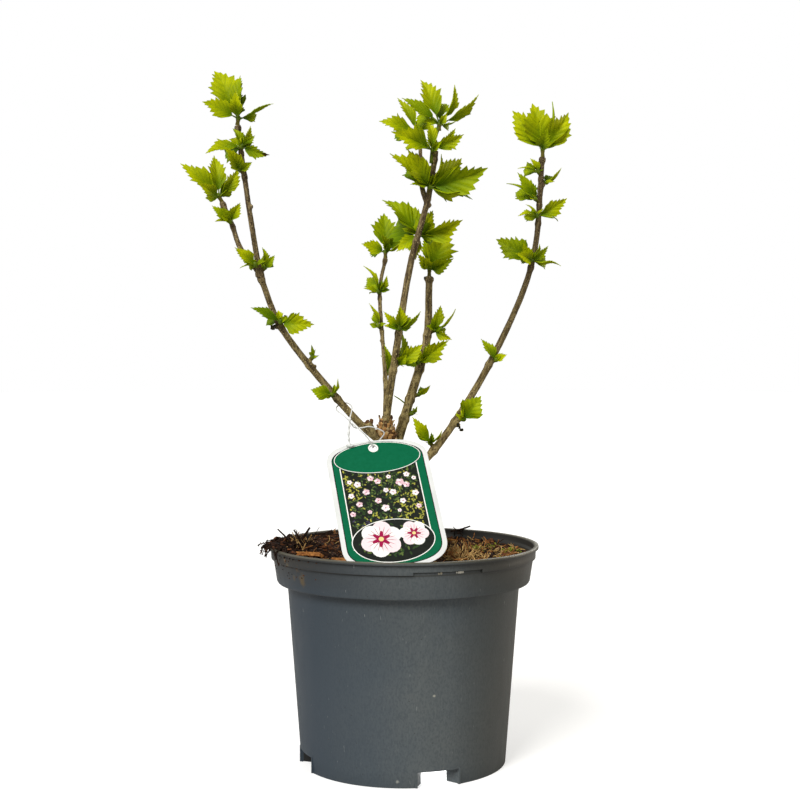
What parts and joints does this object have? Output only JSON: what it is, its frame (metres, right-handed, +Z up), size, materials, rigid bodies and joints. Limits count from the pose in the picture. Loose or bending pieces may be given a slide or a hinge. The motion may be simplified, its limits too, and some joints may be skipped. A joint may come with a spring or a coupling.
{
  "type": "potted rose of sharon",
  "caption": "Young flowering shrub with upright stems and fresh toothed leaves in a round grey nursery pot, with compost and a hanging picture label.",
  "frame": {"origin": "on the pot's axis, on the flat underside of the pot's central foot, level with its foot ring", "axes": "+Z up along the pot's axis; -Y towards the front, where the label leans; +X to the right as seen from the front"},
  "size_m": [0.2725, 0.19, 0.476],
  "materials": {
    "pot_plastic": "matt blue-grey moulded plastic, dusty, with fine scuffs",
    "compost": "dark moist bark compost with chips and fibres",
    "bark": "grey-brown young bark with pale specks and knobbly nodes",
    "foliage": "satin yellow-green leaves, darker at the stalk",
    "label_card": "printed glossy plastic card with a white edge",
    "tie_elastic": "thin translucent white elastic"
  },
  "bodies": {
    "root": {"pot": "pot_plastic", "compost": "compost", "trunk": "bark", "left_bough": "bark", "left_inner_arm": "bark", "left_outer_arm": "bark", "slim_bough": "bark", "tall_bough": "bark", "tall_left_arm": "bark", "stout_bough": "bark", "right_bough": "bark", "label": "label_card", "tie": "tie_elastic", "shoot_left_inner_tip": "foliage", "shoot_left_inner_high": "foliage", "shoot_left_inner_mid": "foliage", "shoot_left_fork_right": "foliage", "shoot_left_fork_left": "foliage", "shoot_left_outer_tip": "foliage", "shoot_left_outer_mid": "foliage", "shoot_left_low_pair": "foliage", "shoot_left_low_bud": "foliage", "shoot_left_foot_pair": "foliage", "shoot_slim_tip": "foliage", "shoot_slim_high": "foliage", "shoot_slim_mid": "foliage", "shoot_slim_low": "foliage", "shoot_tall_low": "foliage", "shoot_tall_mid": "foliage", "shoot_tall_back": "foliage", "shoot_tall_fork": "foliage", "shoot_tall_high": "foliage", "shoot_tall_tip": "foliage", "shoot_tall_left_tip": "foliage", "shoot_stout_tip": "foliage", "shoot_stout_right": "foliage", "shoot_stout_mid": "foliage", "shoot_stout_low": "foliage", "shoot_stout_foot": "foliage", "shoot_right_foot": "foliage", "shoot_right_low": "foliage", "shoot_right_mid": "foliage", "shoot_right_high": "foliage", "shoot_right_upper": "foliage", "shoot_right_left": "foliage", "shoot_right_side": "foliage", "shoot_right_near_tip": "foliage", "shoot_right_tip": "foliage"}
  },
  "joints": []
}
